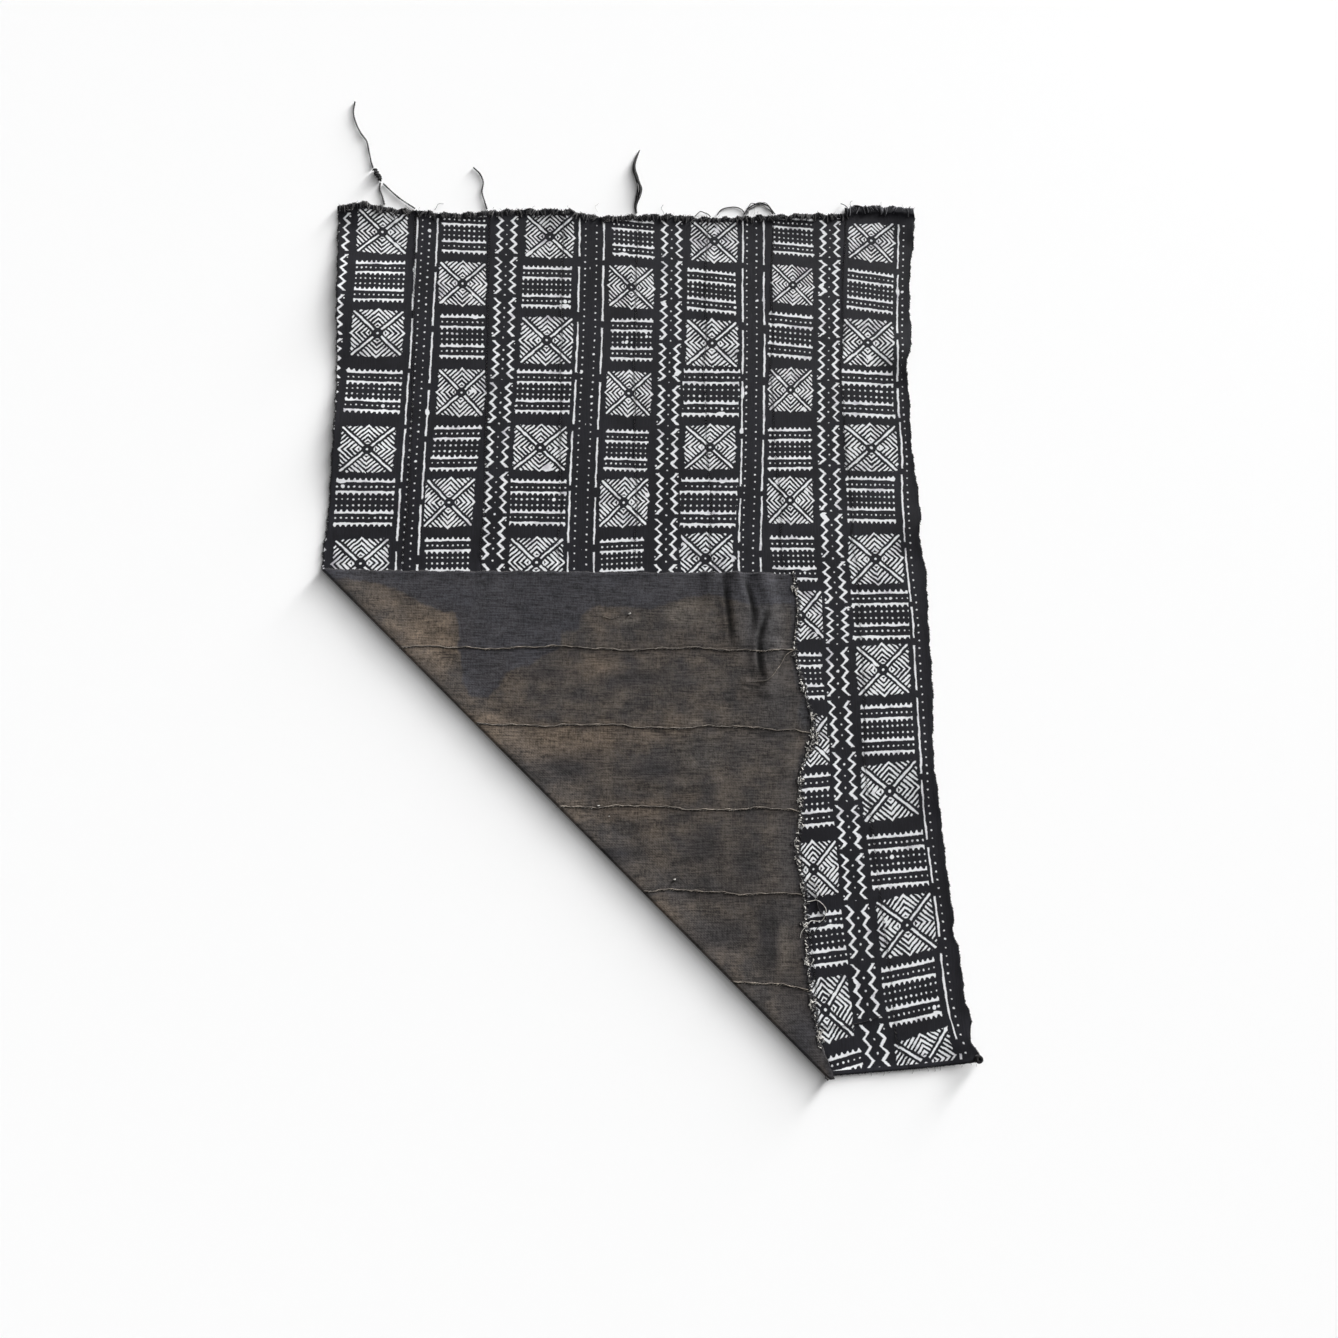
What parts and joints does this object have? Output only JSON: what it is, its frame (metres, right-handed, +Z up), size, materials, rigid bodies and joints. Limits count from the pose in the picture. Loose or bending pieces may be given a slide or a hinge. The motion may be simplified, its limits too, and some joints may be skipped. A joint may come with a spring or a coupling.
{
  "type": "mud cloth",
  "caption": "Hand-woven cotton cloth of narrow strips sewn edge to edge, lying flat with one corner folded over, with loose yarn ends at its upper edge.",
  "frame": {"origin": "under the middle of the cloth's box, on the surface that it lies on, without the loose yarn", "axes": "+X across the strips, +Y along them towards the end with the loose yarn, +Z up"},
  "size_m": [1.0545, 1.721, 0.0107],
  "materials": {
    "dyed_cotton": "matt hand-woven cotton, dyed near black with off-white marks, brown on the back",
    "yarn": "dull dark grey cotton yarn"
  },
  "bodies": {
    "root": {"strip_1": "dyed_cotton", "strip_2": "dyed_cotton", "strip_3": "dyed_cotton", "strip_4": "dyed_cotton", "strip_5": "dyed_cotton", "strip_6": "dyed_cotton", "strip_7": "dyed_cotton", "strip_8": "dyed_cotton", "yarn_leg_left": "yarn", "yarn_leg_right": "yarn", "yarn_tail": "yarn", "yarn_short": "yarn", "yarn_tuft": "yarn", "yarn_knot": "yarn"}
  },
  "joints": []
}
